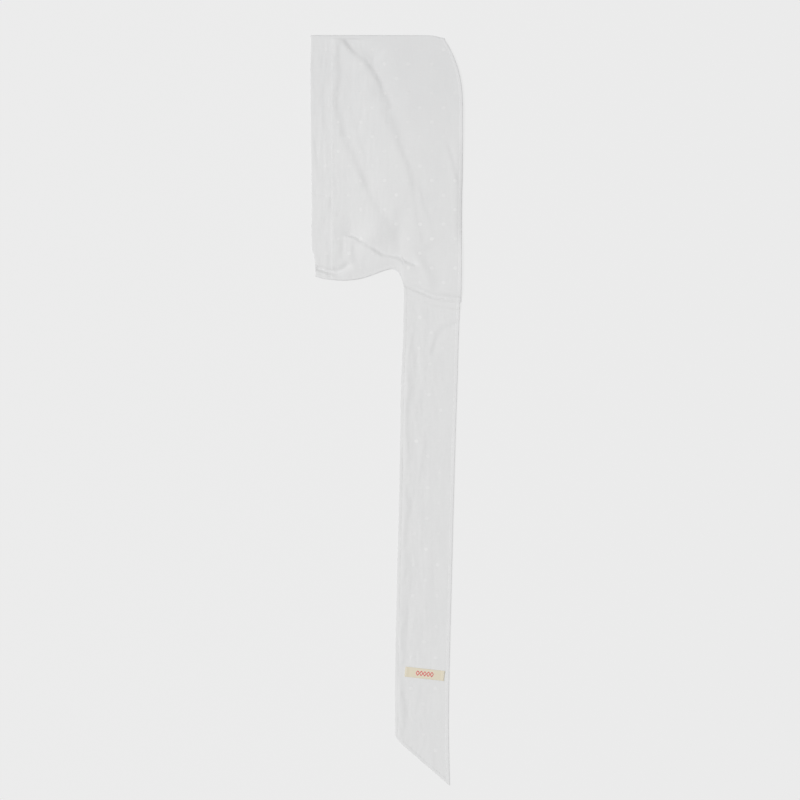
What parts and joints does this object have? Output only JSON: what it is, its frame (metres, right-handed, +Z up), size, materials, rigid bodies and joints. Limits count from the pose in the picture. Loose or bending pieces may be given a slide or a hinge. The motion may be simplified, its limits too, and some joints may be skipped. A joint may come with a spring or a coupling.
{
  "type": "long tie bandana",
  "caption": "Thin dotted cotton bandana lying flat, folded in half across its crown, with a doubled back band, long slanted ties laid together and a small sewn label.",
  "frame": {"origin": "under the middle of the folded bandana's box, on the surface that it lies on", "axes": "+Y from the tips of the ties to the folded top edge, +X from the back band to the front edge, +Z up"},
  "size_m": [0.1676, 0.825, 0.0109],
  "materials": {
    "dotted_cotton": "soft white plain weave with woven dots, matt",
    "label_satin": "beige woven satin label, faint sheen"
  },
  "bodies": {
    "root": {"crown": "dotted_cotton", "back_band": "dotted_cotton", "tie_lower": "dotted_cotton", "tie_upper": "dotted_cotton", "label": "label_satin"}
  },
  "joints": []
}
